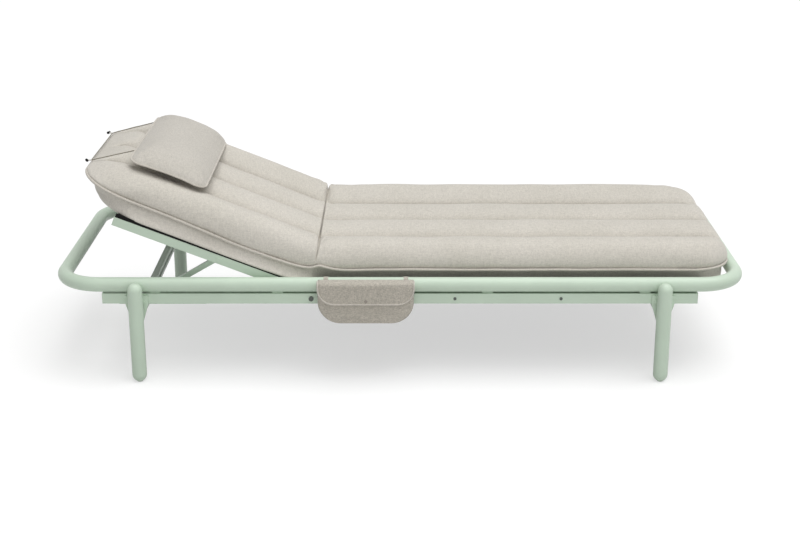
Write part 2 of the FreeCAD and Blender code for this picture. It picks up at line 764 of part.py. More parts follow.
def elastic_cord():
    """The cord from the pillow round the head end, with its loops and toggles."""
    near = [raised_point(s, n, -y) for s, n, y in cord_half_route]
    far = [raised_point(s, n, y) for s, n, y in cord_half_route]
    edges = rounded_route(near + far[::-1], cord_corner)
    cord = swept(edges, cord_d / 2)
    print("cord length", round(sum(edge.Length for edge in edges), 1))
    export("elastic_cord", cord)

    before, last = cord_half_route[-2:]
    headward = raised_point(1, 0, 0) - raised_point(0, 0, 0)
    loops = []
    toggles = []
    for way in (-1, 1):
        corner = raised_point(*last[:2], way * last[2])
        above = (raised_point(*before[:2], way * before[2]) - corner).normalize()
        level = V(0, -way, 0)
        half_angle = above.getAngle(level) / 2
        outward = (above + level).normalize() * -1
        bend = corner - outward * (cord_corner / math.sin(half_angle) - cord_corner)
        outward = (outward + headward * loop_lean).normalize()
        start = bend + outward * (cord_d / 2)
        loop = Part.makeCylinder(loop_d / 2, loop_length, start, outward)
        end = start + outward * loop_length
        crosswise = outward.cross(V(0, 0, 1)).normalize()
        foot = end - crosswise * (toggle_length / 2)
        toggle = Part.makeCylinder(toggle_d / 2, toggle_length, foot, crosswise)
        toggle = toggle.makeFillet(toggle_d / 4, [toggle.Edges[0], toggle.Edges[2]])
        toggles.append(toggle)
        loops.append(loop.cut(toggle).cut(cord))
    export("cord_loops", *loops)
    export("cord_toggles", *toggles)


def pocket_outline(half_width, top, bottom, corner, y):
    """A front outline with a straight top and rounded lower corners."""
    slack = corner * (1 - math.sqrt(0.5))
    left, right = pocket_middle - half_width, pocket_middle + half_width
    points = [V(left, y, top), V(left, y, bottom + corner), V(left + corner, y, bottom)]
    points += [V(right - corner, y, bottom), V(right, y, bottom + corner), V(right, y, top)]
    edges = [
        Part.LineSegment(points[0], points[1]).toShape(),
        Part.Arc(points[1], V(left + slack, y, bottom + slack), points[2]).toShape(),
        Part.LineSegment(points[2], points[3]).toShape(),
        Part.Arc(points[3], V(right - slack, y, bottom + slack), points[4]).toShape(),
        Part.LineSegment(points[4], points[5]).toShape(),
        Part.LineSegment(points[5], points[0]).toShape(),
    ]
    return Part.Face(Part.Wire(edges))


def pocket():
    """A flat pouch hung outside the right tube on two strap rings, with a flap over its mouth."""
    back = -(ring_half + tube_r + strap_gap + strap_thickness)
    half = pocket_width / 2
    mouth = pocket_top - flap_thickness - soft_clearance
    bottom = pocket_top - pocket_height
    pouch = pocket_outline(half, mouth, bottom, pocket_corner, back).extrude(V(0, -pocket_depth, 0))
    core_half, core_bottom = half - pocket_wall, bottom + pocket_wall
    core_corner = pocket_corner - pocket_wall
    core = pocket_outline(core_half, mouth + cut_margin, core_bottom, core_corner, back - pocket_wall)
    export("pocket_pouch", pouch.cut(core.extrude(V(0, 2 * pocket_wall - pocket_depth, 0))))

    front = back - pocket_depth - soft_clearance
    panel = pocket_outline(half, pocket_top, pocket_top - flap_drop, flap_corner, front)
    panel = panel.extrude(V(0, -flap_thickness, 0))
    lid_span = (pocket_middle - half, pocket_middle + half)
    lid = block(lid_span, (front, back), (pocket_top - flap_thickness, pocket_top))
    flap = panel.fuse(lid).removeSplitter()
    export("pocket_flap", flap)
    snap_z = pocket_top - flap_drop + snap_rise
    face = front - flap_thickness
    export("snap_cap", rod_y(pocket_middle, snap_z, face - snap_height, face, snap_d))

    straps = []
    for way in (-1, 1):
        middle = pocket_middle + way * strap_spread / 2
        start = V(middle - strap_width / 2, -ring_half, ring_height)
        outer = Part.makeCylinder(tube_r + strap_gap + strap_thickness, strap_width, start, V(1, 0, 0))
        inner = Part.makeCylinder(tube_r + strap_gap, strap_width, start, V(1, 0, 0))
        straps.append(outer.cut(inner))
    export("pocket_straps", *straps)


ring_tubes()
side_rails()
legs()
seat_deck()
backrest_frame()
prop()
racks()
mattress()
pillow()
elastic_cord()
pocket()
print("prop ratio", round(prop_ratio(), 6), "pivot", prop_points(rest_angle)[0])
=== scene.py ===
"""Looks of the sun lounger: soft pieces, finishes, floor, light and the photograph's camera, in metres."""

import json
import math

import bmesh
import bpy
import numpy as np
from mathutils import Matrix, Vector, noise


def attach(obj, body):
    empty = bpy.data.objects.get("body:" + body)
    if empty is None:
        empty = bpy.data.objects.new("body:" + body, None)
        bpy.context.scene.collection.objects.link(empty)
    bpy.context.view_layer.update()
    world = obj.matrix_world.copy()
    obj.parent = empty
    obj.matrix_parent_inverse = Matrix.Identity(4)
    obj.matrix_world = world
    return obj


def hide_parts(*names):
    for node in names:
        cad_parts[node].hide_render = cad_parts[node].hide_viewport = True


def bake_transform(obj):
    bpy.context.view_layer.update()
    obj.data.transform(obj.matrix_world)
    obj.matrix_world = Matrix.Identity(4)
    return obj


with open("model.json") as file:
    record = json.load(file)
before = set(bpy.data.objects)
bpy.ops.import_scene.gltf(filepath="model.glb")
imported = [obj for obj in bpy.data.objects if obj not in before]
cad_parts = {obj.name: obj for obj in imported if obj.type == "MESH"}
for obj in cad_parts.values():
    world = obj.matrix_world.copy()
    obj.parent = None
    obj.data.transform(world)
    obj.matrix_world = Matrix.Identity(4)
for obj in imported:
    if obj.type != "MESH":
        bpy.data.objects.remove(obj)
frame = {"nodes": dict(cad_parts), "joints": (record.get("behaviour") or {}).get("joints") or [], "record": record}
nodes = frame["nodes"]
joints = {joint["name"]: joint for joint in frame["joints"]}
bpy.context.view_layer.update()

# Backrest
recline = joints["backrest_recline"]
hinge_x, _, hinge_z = recline["pos_m"]
rest_angle = -math.radians(recline["range_deg"][0])
fold_angle = rest_angle

# Mattress in its flat position, heights from its base
mattress_base = 0.2638
mattress_head = -0.994
mattress_foot = 0.962
mattress_half = 0.345
mattress_corners = (0.150, 0.115)
top_inset = 0.040
base_inset = 0.031
shoulder_insets = (0.0, 0.010, 0.019, 0.029, 0.050, 0.070, 0.120)
shoulder_levels = (0.060, 0.091, 0.103, 0.112, 0.122, 0.128, 0.150)
shoulder_blend = 0.012

# The mattress's four channels, with the sewn grooves between them: depth, place and spread
channel = 0.170
seams = (-channel, 0.0, channel)
groove_level = 0.086
near_crown = 0.116
far_crown = 0.127
inner_crown = 0.110
inner_fullness = 2.4
outer_fullness = 1.4
crest_place = 0.62
fine_groove = (0.005, 0.0, 0.005)
wide_groove = (0.006, 0.0, 0.016)

# Extra height of the far half of the back, which grows towards the head
far_slope = 0.014
far_length = 0.55
far_width = 0.25
far_fade = 0.06

# Rings round the rim. Above the piping: inset, height. Below it: inset on the back, on the seat, height
upper_rim = (
    (0.029, 0.112), (0.019, 0.103), (0.010, 0.091), (0.004, 0.079), (0.001, 0.067),
    (0.0, 0.059), (0.001, 0.0535), (0.004, 0.0495), (0.0075, 0.0472),
)
lower_rim = (
    (0.0075, 0.013, 0.0435), (0.005, 0.018, 0.0375), (0.003, 0.023, 0.030), (0.001, 0.027, 0.022),
    (-0.002, 0.029, 0.014), (-0.007, 0.030, 0.007), (-0.0105, 0.0303, 0.001), (-0.0105, 0.0305, -0.0040),
    (0.004, 0.0308, -0.0048),
)
rim_blend = 0.010
base_change = 0.10

# The sewn line across the mattress near the hinge
crease_x = hinge_x - 0.012
crease_depth = 0.020
crease_width = 0.0035
crease_end = 0.062
crease_fade = 0.03
crease_rim_drop = 0.5
crease_rim_pinch = 0.8

# How far the mattress's ends are drawn in at each height, and where along it that starts
tuck_levels = (0.0, 0.012, 0.026, 0.038, 0.046, 0.055, 0.072, 0.096, 0.114, 0.128)
head_tuck_steps = (0.068, 0.048, 0.034, 0.016, 0.002, 0.008, 0.030, 0.053, 0.070, 0.080)
foot_tuck_steps = (-0.016, -0.015, -0.010, -0.004, 0.0, 0.0, 0.0, 0.0, 0.0, 0.0)
head_tuck_start = 0.40
head_tuck_run = 0.25
foot_tuck_start = 0.14
foot_tuck_run = 0.10

# Piping, with its lift over the fold and its sag along the back: size, place from the hinge and spread
seam_level = 0.046
seam_height = mattress_base + seam_level
piping_radius = 0.0042
piping_inset = 0.0022
piping_tuck_level = 0.052
fold_lift = (0.017, 0.012, 0.045)
back_sag = (-0.0135, -0.19, 0.20)
underside_lift = (0.010, 0.0, 0.06)
underside_height = 0.04
seam_share_levels = (0.0, 0.020, seam_level, 0.090)
seam_shares = (0.25, 0.7, 1.0, 0.0)
seam_edge = 0.06

# Relief of the mattress's cloth
pucker_depth = 0.0016
pucker_reach = 0.022
wrinkle_depth = 0.0030
wrinkle_spread = 0.11
lump_depth = 0.0018
gather_depth = 0.0012
gather_reach = 0.02
waver_depth = 0.0012
channel_floor = 0.07
relief_fade = 0.02

# The mattress's mesh: rows near the crease (nearest, farthest, count), other counts, widths held still
crease_rows = (0.0015, 0.12, 18)
back_rows = 50
seat_rows = 90
channel_lines = 17
outer_lines = 15
seam_hold = 0.0015
crease_hold = 0.001

# Pillow, in places along the back and above the hinge line
pillow_middle = 0.505
pillow_half_length = 0.114
pillow_half_width = 0.280
pillow_corner = 0.036
pillow_seam = 0.1656
pillow_inset = 0.012
pillow_rim = (
    (0.006, 0.009), (0.0025, 0.0045), (0.0004, 0.0015), (0.0, 0.0), (0.002, -0.002), (0.006, -0.005),
)
pillow_top_insets = (0, 0.006, 0.012, 0.025, 0.050, 0.080, 0.112)
pillow_top_rises = (0, 0.010, 0.017, 0.026, 0.035, 0.040, 0.042)
pillow_under_insets = (0, 0.008, 0.026, 0.050, 0.084, 0.106)
pillow_under_drops = (0, 0.006, 0.011, 0.017, 0.024, 0.0245)
pillow_blend = 0.05
pillow_line_margin = 0.004
ear_drop = 0.008
edge_crumple = 0.0022
body_crumple = 0.0020
crumple_reach = 0.03
crumple_fade = 0.006
trim_radius = 0.0028
trim_inset = -0.0006
trim_wave = 0.0010

# Cord, along the back, above the hinge line and across
cord_radius = 0.0015
cord_route = ((0.6193, 0.1656, 0.176), (0.718, 0.097, 0.168), (0.732, 0.086, 0.166))
cord_corner = 0.009

# Pocket
pocket_middle, pocket_back, pocket_top = joints["flap_open"]["pos_m"]
pocket_half = 0.136
pocket_depth = 0.034
pocket_mouth = 0.2992
pocket_bottom = 0.182
pocket_corner = 0.064
pouch_layers = (0.0, 0.006, 0.017, 0.028, 0.0315)
pouch_gap = 0.0005
pouch_belly = 0.0022
pouch_cloth = 0.0018
flap_drop = 0.062
flap_corner = 0.046
flap_gap = 0.0003
flap_bend = 0.006
cloth_thickness = 0.0025
cloth_margin = 0.0004
binding_radius = 0.0025
binding_back = 0.0004
binding_start = 3
binding_across = (0.5, 0.6, 0.62)

# Threads of the cloths, as shares of the thread's own scale
thread_run = 0.22
weft_side = 0.4
slub_run = 0.08
slub_width = 0.30
slub_side = 0.10

# Floor, light and camera
floor_half = 30
sun_strength = 1.9
sun_spread = math.radians(50)
sun_turn = (math.radians(-3), math.radians(14), 0.0)
fill_target = (0.0, 0.0, 0.25)
fill_size = (3.0, 2.0)
low_fill_place = (0.6, -4.6, 1.1)
low_fill_power = 22
high_fill_place = (0.6, -2.6, 4.2)
high_fill_power = 42
sky_strength = 0.30
camera_place = (0.0, -4.330, 1.685)
camera_pitch = 18.9
camera_lens = 66.0
camera_sensor = 36.0


def smooth_min(a, b, blend):
    """The lower of two heights, with a rounded change between them."""
    mix = np.clip(0.5 + 0.5 * (b - a) / blend, 0, 1)
    return b * (1 - mix) + a * mix - blend * mix * (1 - mix)


def bell(place, size, middle, spread):
    """A smooth bump of a given size round a middle."""
    return size * np.exp(-((place - middle) / spread) ** 2)


def wander(points, scale, seed):
    """Smooth noise from -1 to 1 at each point."""
    shift = Vector((seed * 7.3, seed * 3.1, seed * 5.7))
    return np.array([noise.noise(Vector(p) * scale + shift) for p in points])


def mesh_object(name, points, faces):
    """A smooth shaded mesh object with its normals outward."""
    mesh = bpy.data.meshes.new(name)
    mesh.from_pydata([tuple(p) for p in points], [], faces)
    work = bmesh.new()
    work.from_mesh(mesh)
    bmesh.ops.recalc_face_normals(work, faces=work.faces)
    work.to_mesh(mesh)
    work.free()
    mesh.polygons.foreach_set("use_smooth", [True] * len(mesh.polygons))
    obj = bpy.data.objects.new(name, mesh)
    bpy.context.scene.collection.objects.link(obj)
    return obj


def places(obj):
    """The object's points as an array."""
    flat = np.empty(len(obj.data.vertices) * 3)
    obj.data.vertices.foreach_get("co", flat)
    return flat.reshape(-1, 3)


def normals(obj):
    """The object's point normals as an array."""
    flat = np.empty(len(obj.data.vertices) * 3)
    obj.data.vertices.foreach_get("normal", flat)
    return flat.reshape(-1, 3)


def move_to(obj, points):
    """Puts the object's points in new places."""
    obj.data.vertices.foreach_set("co", np.asarray(points).ravel())
    obj.data.update()


def subdivide(obj):
    """One round of smooth subdivision, applied."""
    modifier = obj.modifiers.new("smooth", "SUBSURF")
    modifier.levels = 1
    modifier.render_levels = 1
    bpy.context.view_layer.objects.active = obj
    bpy.ops.object.modifier_apply(modifier=modifier.name)


def puff(obj, held, pressure, frames, limit):
    """Blows the cloth up a little between its held points, and keeps the result."""
    before = places(obj)
    group = obj.vertex_groups.new(name="held")
    group.add([int(k) for k in np.nonzero(held)[0]], 1.0, "REPLACE")
    modifier = obj.modifiers.new("cloth", "CLOTH")
    settings = modifier.settings
    settings.vertex_group_mass = "held"
    settings.use_pressure = True
    settings.uniform_pressure_force = pressure
    settings.effector_weights.gravity = 0
    settings.quality = 4
    modifier.collision_settings.use_collision = False
    modifier.point_cache.frame_end = frames
    scene = bpy.context.scene
    for step in range(1, frames + 1):
        scene.frame_set(step)
    seen = obj.evaluated_get(bpy.context.evaluated_depsgraph_get())
    flat = np.empty(len(before) * 3)
    seen.data.vertices.foreach_get("co", flat)
    change = flat.reshape(-1, 3) - before
    obj.modifiers.remove(modifier)
    obj.vertex_groups.remove(group)
    scene.frame_set(1)
    size = np.linalg.norm(change, axis=1)
    share = np.minimum(1.0, limit / np.maximum(size, 1e-9))
    move_to(obj, before + change * share[:, None])


def raise_back(points):
    """Bends flat mattress points to the standing backrest, and fills the fold at the hinge."""
    points = np.array(points, dtype=float)
    along = points[:, 0] - hinge_x
    up = points[:, 2] - hinge_z
    lean = np.arctan2(along, up)
    reach = np.hypot(along, up)
    share = np.clip((lean + fold_angle) / (2 * fold_angle), 0, 1)
    folded = share * (2 * fold_angle - rest_angle) + rest_angle - fold_angle
    turned = np.where(lean <= -fold_angle, lean + rest_angle, np.where(lean >= fold_angle, lean, folded))
    filled = np.cos(lean) / np.cos(np.maximum(turned, rest_angle - turned))
    reach = np.where(np.abs(lean) < fold_angle, reach * filled, reach)
    points[:, 0] = hinge_x + reach * np.sin(turned)
    points[:, 2] = hinge_z + reach * np.cos(turned)
    return points


def on_back(along, up, across):
    """A point on the standing backrest."""
    x = hinge_x - along * math.cos(rest_angle) + up * math.sin(rest_angle)
    z = hinge_z + along * math.sin(rest_angle) + up * math.cos(rest_angle)
    return Vector((x, across, z))


class Outline:
    """A rounded rectangle with matching points on every inset, and straight lines across its middle.

    Lines nearer the middle than fixed stay straight. The others spread with the width.
    """

    def __init__(self, low, high, half, corners, straight, lines, fixed, arc_steps=14):
        self.low, self.high, self.half, self.corners = low, high, half, corners
        self.straight = np.asarray(straight)
        self.lines = np.asarray(lines)
        self.fixed = fixed
        self.turns = np.linspace(0, math.pi / 2, arc_steps + 1)

    def stations(self, inset):
        """Places along X and the half width at each."""
        turns = (self.turns, self.turns[::-1])
        radii = [corner - inset for corner in self.corners]
        first = self.low + inset + radii[0] * (1 - np.cos(turns[0]))
        last = self.high - inset - radii[1] * (1 - np.cos(turns[1]))
        ends = [self.half - inset - radius + radius * np.sin(turn) for radius, turn in zip(radii, turns)]
        middle = np.full(len(self.straight), self.half - inset)
        return np.concatenate([first, self.straight, last]), np.concatenate([ends[0], middle, ends[1]])

    def grid(self, inset):
        """Points over the whole outline."""
        along, wide = self.stations(inset)
        size = np.abs(self.lines)
        beyond = np.clip((size - self.fixed) / (size.max() - self.fixed), 0, 1)
        spread = self.fixed + beyond * (wide[:, None] - self.fixed)
        across = np.where(size <= self.fixed, size, spread) * np.sign(self.lines)
        return np.stack([np.repeat(along[:, None], len(self.lines), 1), across], axis=-1)

    def ring_order(self):
        """The grid's points along its edge, in order round the outline."""
        rows, columns = len(self.turns) * 2 + len(self.straight), len(self.lines)
        at = np.arange(rows * columns).reshape(rows, columns)
        return np.concatenate([at[:, 0], at[-1, 1:-1], at[::-1, -1], at[0, -2:0:-1]])

    def ring(self, inset):
        """Points round the outline."""
        return self.grid(inset).reshape(-1, 2)[self.ring_order()]


def grid_faces(rows, columns, start):
    """Four sided faces over a grid of points."""
    at = start + np.arange(rows * columns).reshape(rows, columns)
    corners = np.stack([at[:-1, :-1], at[1:, :-1], at[1:, 1:], at[:-1, 1:]], axis=-1)
    return corners.reshape(-1, 4).tolist()


def stuffed(name, outline, top_inset, bottom_inset, top, rim, bottom):
    """A closed cushion: a top grid, rings of points down its rim and a bottom grid.

    Returns it with the numbers of its rim's points, ring by ring, and of its first bottom point.
    """
    upper = outline.grid(top_inset)
    lower = outline.grid(bottom_inset)
    rows, columns = upper.shape[:2]
    points = [np.column_stack([upper.reshape(-1, 2), top(upper.reshape(-1, 2))])]
    faces = grid_faces(rows, columns, 0)
    count = rows * columns
    last = outline.ring_order()
    rings = [last]
    for row in rim:
        points.append(row)
        ring = count + np.arange(len(last))
        rings.append(ring)
        faces += np.stack([last, np.roll(last, -1), np.roll(ring, -1), ring], 1).tolist()
        count += len(ring)
        last = ring
    points.append(np.column_stack([lower.reshape(-1, 2), bottom(lower.reshape(-1, 2))]))
    faces += grid_faces(rows, columns, count)
    edge = count + outline.ring_order()
    faces += np.stack([last, np.roll(last, -1), np.roll(edge, -1), edge], 1).tolist()
    return mesh_object(name, np.concatenate(points), faces), rings, count


def tube(name, path, radius, sides=10, closed=False, across=(0.0, 0.0, 1.0)):
    """A round tube along a path of points, none of which runs along the direction across."""
    path = np.asarray(path, dtype=float)
    count = len(path)
    if closed:
        heading = np.roll(path, -1, 0) - np.roll(path, 1, 0)
    else:
        heading = np.gradient(path, axis=0)
    heading /= np.linalg.norm(heading, axis=1)[:, None]
    side = np.cross(heading, across)
    side /= np.linalg.norm(side, axis=1)[:, None]
    over = np.cross(side, heading)
    turns = np.linspace(0, 2 * math.pi, sides, endpoint=False)
    ring = side[:, None] * np.cos(turns)[None, :, None] + over[:, None] * np.sin(turns)[None, :, None]
    points = (path[:, None] + ring * radius).reshape(-1, 3)
    faces = []
    for k in range(count if closed else count - 1):
        ahead = (k + 1) % count
        for m in range(sides):
            n = (m + 1) % sides
            faces.append((k * sides + m, k * sides + n, ahead * sides + n, ahead * sides + m))
    if not closed:
        faces.append(tuple(range(sides)))
        faces.append(tuple(range((count - 1) * sides, count * sides)))
    return mesh_object(name, points, faces)


# Materials


def new_material(name):
    """A new material, its node tree and its shader."""
    material = bpy.data.materials.new(name)
    material.use_nodes = True
    tree = material.node_tree
    shader = next(n for n in tree.nodes if n.type == "BSDF_PRINCIPLED")
    return material, tree, shader


def stretched_noise(tree, scale, detail=2.0):
    """Noise in the object's own metres, stretched along each axis."""
    place = tree.nodes.new("ShaderNodeTexCoord")
    stretch = tree.nodes.new("ShaderNodeMapping")
    stretch.inputs["Scale"].default_value = scale
    texture = tree.nodes.new("ShaderNodeTexNoise")
    texture.inputs["Scale"].default_value = 1.0
    texture.inputs["Detail"].default_value = detail
    tree.links.new(place.outputs["Object"], stretch.inputs["Vector"])
    tree.links.new(stretch.outputs["Vector"], texture.inputs["Vector"])
    return texture.outputs["Fac"]


def graded(tree, value, stops):
    """A colour ramp over a value."""
    ramp = tree.nodes.new("ShaderNodeValToRGB")
    for element, (place, color) in zip(ramp.color_ramp.elements, stops):
        element.position = place
        element.color = (*color, 1.0)
    tree.links.new(value, ramp.inputs["Fac"])
    return ramp.outputs["Color"]


def mixed(tree, kind, amount, a, b):
    """Two colours mixed in a given way."""
    node = tree.nodes.new("ShaderNodeMixRGB")
    node.blend_type = kind
    node.inputs["Fac"].default_value = amount
    tree.links.new(a, node.inputs["Color1"])
    tree.links.new(b, node.inputs["Color2"])
    return node.outputs["Color"]


def bumped(tree, shader, value, depth):
    """Small relief on the surface from a value."""
    bump = tree.nodes.new("ShaderNodeBump")
    bump.inputs["Distance"].default_value = depth
    bump.inputs["Strength"].default_value = 0.6
    tree.links.new(value, bump.inputs["Height"])
    tree.links.new(bump.outputs["Normal"], shader.inputs["Normal"])


def shade(color, factor):
    """A colour made lighter or darker."""
    return tuple(min(1.0, c * factor) for c in color)


def woven(name, color, contrast, thread):
    """Linen look cloth: warp and weft slubs, a little dirt, and thread relief."""
    material, tree, shader = new_material(name)
    light, dark = shade(color, 1 + contrast), shade(color, 1 - contrast)
    warp = stretched_noise(tree, (thread * thread_run, thread, thread))
    weft = stretched_noise(tree, (thread, thread * thread_run, thread * weft_side))
    soil = stretched_noise(tree, (5.0, 5.0, 5.0), 4.0)
    warp_color = graded(tree, warp, ((0.35, dark), (0.65, light)))
    weft_color = graded(tree, weft, ((0.35, dark), (0.65, light)))
    threads = mixed(tree, "MIX", 0.5, warp_color, weft_color)
    long_slub = stretched_noise(tree, (thread * slub_run, thread * slub_width, thread * slub_width))
    cross_slub = stretched_noise(tree, (thread * slub_width, thread * slub_run, thread * slub_side))
    for slub in (long_slub, cross_slub):
        slub_color = graded(tree, slub, ((0.32, (0.94,) * 3), (0.62, (1.02,) * 3)))
        threads = mixed(tree, "MULTIPLY", 1.0, threads, slub_color)
    soil_color = graded(tree, soil, ((0.3, (0.95, 0.95, 0.94)), (0.6, (1.0,) * 3)))
    tree.links.new(mixed(tree, "MULTIPLY", 1.0, threads, soil_color), shader.inputs["Base Color"])
    shader.inputs["Roughness"].default_value = 0.92
    shader.inputs["Specular IOR Level"].default_value = 0.2
    shader.inputs["Sheen Weight"].default_value = 0.25
    relief = mixed(tree, "MIX", 0.5, warp, weft)
    bumped(tree, shader, relief, 0.0012)
    return material


def coated(name, color, roughness, metal=0.0, gloss=0.5):
    """Powder coat, plastic or plain metal: a fine orange peel, uneven sheen, and paler rubbed patches."""
    material, tree, shader = new_material(name)
    patch = stretched_noise(tree, (9.0, 9.0, 9.0), 5.0)
    grain = stretched_noise(tree, (900.0, 900.0, 900.0))
    base = graded(tree, patch, ((0.35, shade(color, 0.97)), (0.7, shade(color, 1.03))))
    tree.links.new(base, shader.inputs["Base Color"])
    low, high = shade((roughness,) * 3, 0.85), shade((roughness,) * 3, 1.15)
    tree.links.new(graded(tree, patch, ((0.3, low), (0.7, high))), shader.inputs["Roughness"])
    shader.inputs["Metallic"].default_value = metal
    shader.inputs["Specular IOR Level"].default_value = gloss
    bumped(tree, shader, grain, 0.0002)
    return material


paint = coated("mint_paint", (0.57, 0.687, 0.56), 0.42)
linen = woven("mattress_cloth", (0.65, 0.617, 0.556), 0.13, 900.0)
pillow_linen = woven("pillow_cloth", (0.585, 0.555, 0.502), 0.13, 900.0)
heather = woven("pocket_cloth", (0.495, 0.461, 0.40), 0.28, 620.0)
binding = woven("piping_cloth", (0.616, 0.58, 0.52), 0.10, 1100.0)
elastic = woven("elastic_cord", (0.27, 0.25, 0.20), 0.15, 1500.0)
webbing = woven("pale_webbing", (0.68, 0.66, 0.62), 0.10, 1200.0)
steel = coated("zinc_steel", (0.52, 0.53, 0.52), 0.35, 1.0)
dark_steel = coated("dark_steel", (0.10, 0.11, 0.10), 0.5, 1.0)
dull_steel = coated("dull_steel", (0.27, 0.25, 0.22), 0.55, 1.0)
plastic = coated("grey_plastic", (0.53, 0.64, 0.52), 0.55)
# Painted shade: the black plastic and the dark slats are near black so that the gaps under the mattress look as
# dark as shade.
black = coated("black_plastic", (0.008, 0.008, 0.008), 0.6, gloss=0.1)
dark = coated("dark_slat", (0.012, 0.012, 0.011), 0.7, gloss=0.1)
finishes = {
    "mint_paint": paint, "mattress_cloth": linen, "pillow_cloth": pillow_linen, "pocket_cloth": heather,
    "elastic_cord": elastic, "pale_webbing": webbing, "zinc_steel": steel, "grey_plastic": plastic,
    "black_plastic": black, "dark_slat": dark,
}
own_finishes = {
    "prop_pins": paint, "bracket_bolts": paint, "deck_screws": dark_steel, "hinge_bolts": dark_steel,
    "rack_screws": dark_steel, "snap_cap": dull_steel,
}
for part in frame["record"]["subparts"]:
    node = nodes[part["node"]]
    finish = own_finishes.get(part["node"], finishes[part["material_slot"]])
    node.data.materials.clear()
    node.data.materials.append(finish)


def finish_piece(obj, material, slot, *replaced):
    """Gives a rebuilt piece its finish and hides the nodes it stands for."""
    obj.data.materials.append(material)
    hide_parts(*replaced)


# Mattress


def shoulder_level(inset):
    """Height of the rounded shoulder at a distance in from the edge."""
    return np.interp(inset, shoulder_insets, shoulder_levels)


def crown_level(across):
    """Height of the four lengthwise channels: two even inner ones, and outer ones that rise to the sides."""
    size = np.abs(across)
    off = np.minimum(np.abs(size - channel / 2) / (channel / 2), 1)
    inner = inner_crown - (inner_crown - groove_level) * off ** inner_fullness
    climb = np.clip((size - channel) / (channel * crest_place), 0, 1)
    outer_rise = np.where(across < 0, near_crown, far_crown) - groove_level
    return np.where(size < channel, inner, groove_level + outer_rise * (1 - (1 - climb) ** outer_fullness))


def inset_from_edge(plan):
    """Distance in from the mattress outline."""
    at_foot = plan[:, 0] > hinge_x
    corner = np.where(at_foot, mattress_corners[1], mattress_corners[0])
    reach_x = np.where(at_foot, mattress_foot - plan[:, 0], plan[:, 0] - mattress_head)
    reach_y = mattress_half - np.abs(plan[:, 1])
    corner_x = np.maximum(corner - reach_x, 0)
    corner_y = np.maximum(corner - reach_y, 0)
    round_corner = (corner_x > 0) & (corner_y > 0)
    return np.where(round_corner, corner - np.hypot(corner_x, corner_y), np.minimum(reach_x, reach_y))


def crease_drop(along):
    """How far the top sinks at the sewn line near the hinge."""
    return bell(along, crease_depth, crease_x, crease_width)


def far_rise(plan):
    """The far half of the back stands a little fuller towards the head."""
    up_back = np.clip(hinge_x - plan[:, 0], 0, far_length)
    far_share = np.clip((plan[:, 1] + channel) / far_width, 0, 1)
    return far_slope * up_back * far_share


def seam_shift(along):
    """How far the piping rises where the mattress bridges the fold, and sags along the back."""
    off = along - hinge_x
    return bell(off, *fold_lift) + bell(off, *back_sag)


def mattress_top(plan):
    """Height of the top over the plan."""
    level = smooth_min(crown_level(plan[:, 1]), shoulder_level(inset_from_edge(plan)), shoulder_blend)
    return mattress_base + level + far_rise(plan) - crease_drop(plan[:, 0])


def end_tuck(along, rise):
    """How far the ends are drawn in at each height: the sloping head, and the underside of both ends."""
    near_head = np.clip((mattress_head + head_tuck_start - along) / head_tuck_run, 0, 1) ** 2
    near_foot = np.clip((along - mattress_foot + foot_tuck_start) / foot_tuck_run, 0, 1)
    head_step = np.interp(rise, tuck_levels, head_tuck_steps)
    foot_step = np.interp(rise, tuck_levels, foot_tuck_steps)
    return head_step * near_head - foot_step * near_foot


def upper_ring(outline, inset, rise):
    """One ring of points on the rim above the piping, lower at the crease."""
    plan = outline.ring(inset)
    level = smooth_min(crown_level(plan[:, 1]), np.full(len(plan), rise), rim_blend)
    crease = crease_drop(plan[:, 0]) * np.clip((rise - crease_end) / crease_fade, 0, 1)
    level += far_rise(plan) * np.clip((rise - seam_level) / far_fade, 0, 1) - crease_rim_drop * crease
    across = plan[:, 1] - np.sign(plan[:, 1]) * crease_rim_pinch * crease
    return np.column_stack([plan[:, 0], across, mattress_base + level])


def lower_ring(outline, back_inset, seat_inset, rise):
    """One ring of points below the piping: full over the back's rails, drawn in between the side tubes."""
    on_seat = outline.ring(seat_inset)
    on_backrest = outline.ring(back_inset)
    share = np.clip((on_seat[:, 0] - hinge_x) / base_change + 0.5, 0, 1)
    plan = on_backrest + (on_seat - on_backrest) * (share ** 2 * (3 - 2 * share))[:, None]
    level = np.where(plan[:, 0] < hinge_x - base_change / 2, rise, max(rise, 0.0))
    return np.column_stack([plan, mattress_base + level])


def mattress_outline():
    """The mattress's outline, with rows close together at the crease and lines that follow the channels."""
    steps = np.geomspace(*crease_rows)
    near_hinge = crease_x + np.concatenate([-steps[::-1], [0.0], steps])
    back = np.linspace(mattress_head + mattress_corners[0], near_hinge[0], back_rows)[1:-1]
    seat = np.linspace(near_hinge[-1], mattress_foot - mattress_corners[1], seat_rows)[1:-1]
    half_channel = channel * (0.5 - 0.5 * np.cos(np.linspace(0, math.pi, channel_lines)))
    outer = np.linspace(channel, mattress_half - mattress_corners[0], outer_lines)[1:]
    side = np.concatenate([half_channel, outer])
    lines = np.concatenate([-side[:0:-1], side])
    straight = np.concatenate([back, near_hinge, seat])
    return Outline(
        mattress_head, mattress_foot, mattress_half, mattress_corners, straight, lines, channel)


